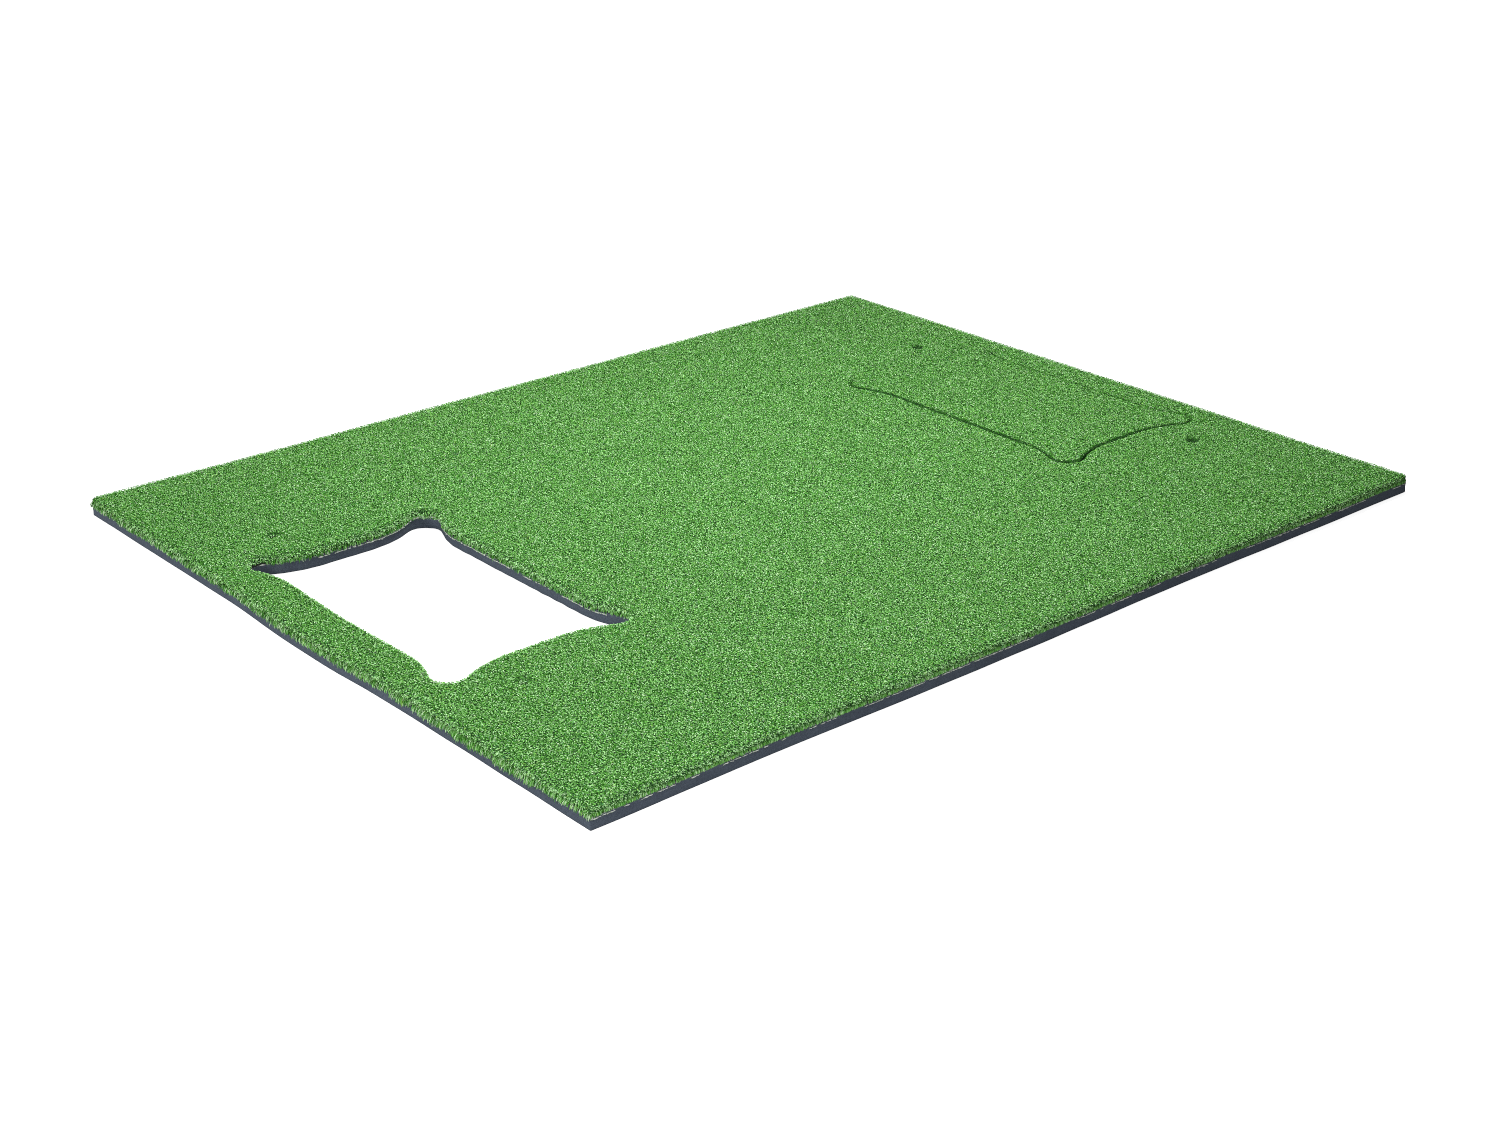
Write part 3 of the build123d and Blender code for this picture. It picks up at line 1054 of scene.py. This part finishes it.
def hanging_ends():
    """Longer yarn ends that hang over the foam from the pile's lower edge, at free edges."""
    parts = []
    for loop, outward in ((rect_loop(HALF_X - 0.6, HALF_Y - 0.6, 2.0, step=3.0), 1),
                          (eared_loop(OPEN_X, inset=-0.6, step=3.0), -1)):
        points, normals = scatter_along(loop, outward, per_mm=4.2)
        x, y = points[:, 0], points[:, 1]
        # amount drives both how many there are and how long: most on the short side at -X
        if outward > 0:
            left = ease(HALF_X - 8, HALF_X - 2, -x)
            front = ease(HALF_Y - 8, HALF_Y - 2, -y) * (1 - left)
            side = 0.78 + 0.38 * hump((y + 390.0) / 310.0) - 0.35 * ease(500.0, 590.0, -y)
            amount = 0.14 + left * side + 0.32 * front
        else:
            amount = 0.62 - at_ear(x, y) * (0.22 + 0.63 * left_ear_back(x, y))
        parts.append(np.c_[points, normals, amount])
    x, y, out_x, out_y, amount = np.vstack(parts).T.copy()
    front = ease(HALF_Y - 8, HALF_Y - 2, -y) * (1 - ease(HALF_X - 8, HALF_X - 2, -x))
    # ragged everywhere but along the front
    patches = (0.22 * value_noise(x, y, 19.0, seed=511)
               + 0.16 * value_noise(x, y, 5.0, seed=512))
    amount = np.clip(amount * (0.88 + patches * (1 - 0.85 * front)), -0.18, 1.3)
    keep = rng.uniform(0, 1, len(x)) < np.maximum(0.15 + 0.85 * amount, 0.9 * front)
    x, y, out_x, out_y, amount, front = (
        values[keep] for values in (x, y, out_x, out_y, amount, front))
    count = len(x)
    head = np.arctan2(out_y, out_x) + rng.normal(0, 0.9, count)
    length = rng.uniform(2.6, 4.2, count) + 6.4 * amount * rng.uniform(0.55, 1.1, count)
    length = length + (rng.uniform(4.6, 5.4, count) - length) * front
    root_angle = np.radians(rng.uniform(-55, -5, count) - 20 * front)
    tip_angle = np.radians(rng.uniform(-89, -76, count))
    z = 20.5 + rng.uniform(-1.2, 2.4, count) * (1 - 0.7 * front) + 0.3 * front
    # painted shade and light: hanging ends take darker tones to offset the side light on them, and
    # paler ones along the front
    tone = np.clip(rng.uniform(0.08, 0.85, count) + 0.10 * front, 0, 0.999)
    pale = rng.uniform(0, 1, count) < 0.05 + 0.16 * (x < 5 - HALF_X)
    x, y = flex(x, y)
    strands("mat_turf_hanging_ends", "mat", x, y, z, length, head,
            turn=rng.normal(0, 0.9, count), root_angle=root_angle, tip_angle=tip_angle,
            width=rng.uniform(0.55, 0.95, count), roll=rng.normal(0, 0.5, count),
            twist=rng.normal(0, 0.8, count), band=np.where(pale, PALE_BAND, pick_shades(tone)),
            centred=np.zeros(count, bool))


def backing_fray():
    """Pale threads frayed from the backing, which lie under the pile along the open cut-out's
    wall and along the long front side."""
    parts = []
    for loop, outward in ((eared_loop(OPEN_X, inset=1.6, step=3.0), -1),
                          (rect_loop(HALF_X + 1.7, HALF_Y + 1.7, 3.0, step=3.0), 1)):
        points, normals = scatter_along(loop, outward, per_mm=0.42)
        keep = (points[:, 1] < -HALF_Y) | (outward < 0)
        parts.append(np.c_[points, normals][keep])
    x, y, out_x, out_y = np.vstack(parts).T.copy()
    front = y < -HALF_Y
    patches = value_noise(x, y, 45.0, seed=611) + 0.4 * value_noise(x, y, 9.0, seed=612)
    keep = patches > np.where(front, -0.15, -0.35)
    x, y, out_x, out_y, front = (values[keep] for values in (x, y, out_x, out_y, front))
    count = len(x)
    head = (np.arctan2(out_y, out_x) + math.pi / 2
            + rng.normal(0, 0.12, count) * np.where(front, 0.4, 1.0))
    # threads lie higher at the ears, and more evenly along the front
    z = (14.2 + 3.6 * at_ear(x, y) * ~front
         + 0.9 * value_noise(x, y, 30.0, seed=613) * np.where(front, 0.3, 1.0)
         + np.where(front, 1.1, 0.0) + rng.normal(0, 0.3, count) * np.where(front, 0.5, 1.0))
    x, y = flex(x, y)
    strands("mat_backing_fray", "mat", x, y, z, length=rng.uniform(4.0, 7.5, count), head=head,
            turn=rng.normal(0, 0.25, count), root_angle=rng.normal(0, 0.12, count),
            tip_angle=rng.normal(0, 0.12, count),
            width=rng.uniform(0.8, 1.3, count) * np.where(front, 0.8, 1.0),
            roll=rng.normal(1.1, 0.3, count), twist=rng.normal(0, 0.3, count),
            band=np.full(count, THREAD_BAND), centred=np.ones(count, bool))


all_tufts = plant_tufts(pitch=1.88)
on_plug = ear_distance(all_tufts[0], all_tufts[1], PLUG_X)[0] < 0
grow("mat", [values[~on_plug] for values in all_tufts], mat_edges, tiles_x=6, tiles_y=4)
grow("insert", [values[on_plug] for values in all_tufts], insert_edges, tiles_x=1, tiles_y=2)
fringe()
hanging_ends()
backing_fray()


# ---------------------------------------------------------------- floor, light, camera
def floor_material():
    """A floor that glows white to the camera round the mat, in the open cut-out and, fading
    in from its edge, under the plug, where the fade is a painted soft shadow by the seat's walls.
    Other rays see it dark and unlit."""
    window_x, window_y = 158.0 * MM, 254.0 * MM     # half size of the lit open cut-out
    seat_x, seat_y = 126.0 * MM, 216.0 * MM         # half size of the glow under the plug
    seat_shadow_fade, seat_gain = 50.0 * MM, 16.0          # width of its fade, a painted soft shadow, and brightness a metre
    material, shader, surface = new_material("studio_floor")
    calc = shader.calc
    seen = shader.add("LightPath").outputs["Is Camera Ray"]
    color = shader.add("Mix", {"Factor": seen, 6: (0.15, 0.15, 0.15, 1), 7: (0.70, 0.70, 0.70, 1)},
                       data_type="RGBA").outputs[2]
    place = shader.add("SeparateXYZ", {0: shader.add("NewGeometry").outputs["Position"]}).outputs

    def absolute(value):
        return calc("ABSOLUTE", value, 0.0)

    def off_centre(centre_x):
        return absolute(calc("SUBTRACT", place["X"], centre_x * MM))

    away_x, away_y = absolute(place["X"]), absolute(place["Y"])
    clear = calc("MAXIMUM", calc("GREATER_THAN", away_x, (HALF_X - 9) * MM),
                 calc("GREATER_THAN", away_y, (HALF_Y - 7) * MM))
    window = calc("MULTIPLY", calc("LESS_THAN", off_centre(OPEN_X), window_x),
                  calc("LESS_THAN", away_y, window_y))
    seat = calc("MINIMUM", calc("SUBTRACT", seat_x, off_centre(PLUG_X)),
                calc("SUBTRACT", seat_y, away_y))
    seat = calc("MINIMUM", calc("MAXIMUM", seat, 0.0), seat_shadow_fade)
    seat = calc("MULTIPLY", seat, seat_gain)
    glow = calc("MULTIPLY", calc("MAXIMUM", calc("MAXIMUM", clear, window), seat), 0.72)
    shader.fill(surface, {
        "Base Color": color,
        "Emission Color": (1.0, 1.0, 1.0, 1),
        "Emission Strength": calc("MULTIPLY", glow, seen),
        "Roughness": 0.9,
        "Specular IOR Level": 0.1})
    return material


def build_floor(half, z):
    corners = np.array([[-half, -half, z], [half, -half, z], [half, half, z], [-half, half, z]])
    floor = new_object("floor", corners, np.array([[0, 1, 2, 3]]))
    floor.data.materials.append(floor_material())


def build_world():
    """White to the camera, and a dimmer white as light."""
    world = bpy.data.worlds.new("studio")
    bpy.context.scene.world = world
    world.use_nodes = True
    nodes = world.node_tree.nodes
    shader = Shader(world.node_tree)
    dim = nodes["Background"]
    shader.fill(dim, {"Color": (1.0, 1.0, 1.0, 1), "Strength": 0.38})
    white = shader.add("Background", {"Color": (1.0, 1.0, 1.0, 1), "Strength": 1.0})
    seen = shader.add("LightPath").outputs["Is Camera Ray"]
    mix = shader.add("MixShader", {0: seen, 1: dim.outputs[0], 2: white.outputs[0]})
    shader.fill(nodes["World Output"], {0: mix.outputs[0]})


def disk_light(name, place, aim, size, power):
    """A round area light, in metres and watts."""
    data = bpy.data.lights.new(name, "AREA")
    data.shape = "DISK"
    data.size = size
    data.energy = power
    light = bpy.data.objects.new(name, data)
    light.location = place
    light.rotation_mode = "QUATERNION"
    light.rotation_quaternion = (Vector(aim) - Vector(place)).to_track_quat("-Z", "Y")
    light.visible_camera = False
    bpy.context.scene.collection.objects.link(light)


def build_camera():
    """A camera at the mat's (-X, -Y) corner, looking across it and down."""
    data = bpy.data.cameras.new("view")
    data.sensor_width = 36.0
    data.lens = 55.342
    data.clip_start, data.clip_end = 0.05, 60.0
    camera = bpy.data.objects.new("view", data)
    right = Vector((0.75995612, -0.64995058, -0.00556240))
    up = Vector((0.26453931, 0.30147349, 0.91604186))
    back = Vector((-0.59370502, -0.69762309, 0.40104410))
    pose = Matrix((right, up, back)).transposed().to_4x4()
    pose.translation = (-2.0637022, -2.4140546, 1.2946385)
    camera.matrix_world = pose
    bpy.context.scene.collection.objects.link(camera)
    bpy.context.scene.camera = camera


build_floor(half=16000.0, z=-0.4)
build_world()
disk_light("key", place=(0.10, 0.10, 1.6), aim=(0.10, 0.10, 0.0), size=0.8, power=42)
disk_light("front_fill", place=(-1.2, -1.5, 0.8), aim=(-0.3, -0.3, 0.0), size=0.8, power=16)
disk_light("side_fill", place=(-2.5, 0.3, 0.8), aim=(-0.5, 0.0, 0.0), size=1.0, power=35)
build_camera()

scene = bpy.context.scene
scene.view_settings.view_transform = "Standard"
scene.view_settings.look = "None"
scene.cycles.pixel_filter_type = "BOX"
scene.cycles.use_denoising = False
scene.cycles.max_bounces = 6
scene.cycles.diffuse_bounces = 4
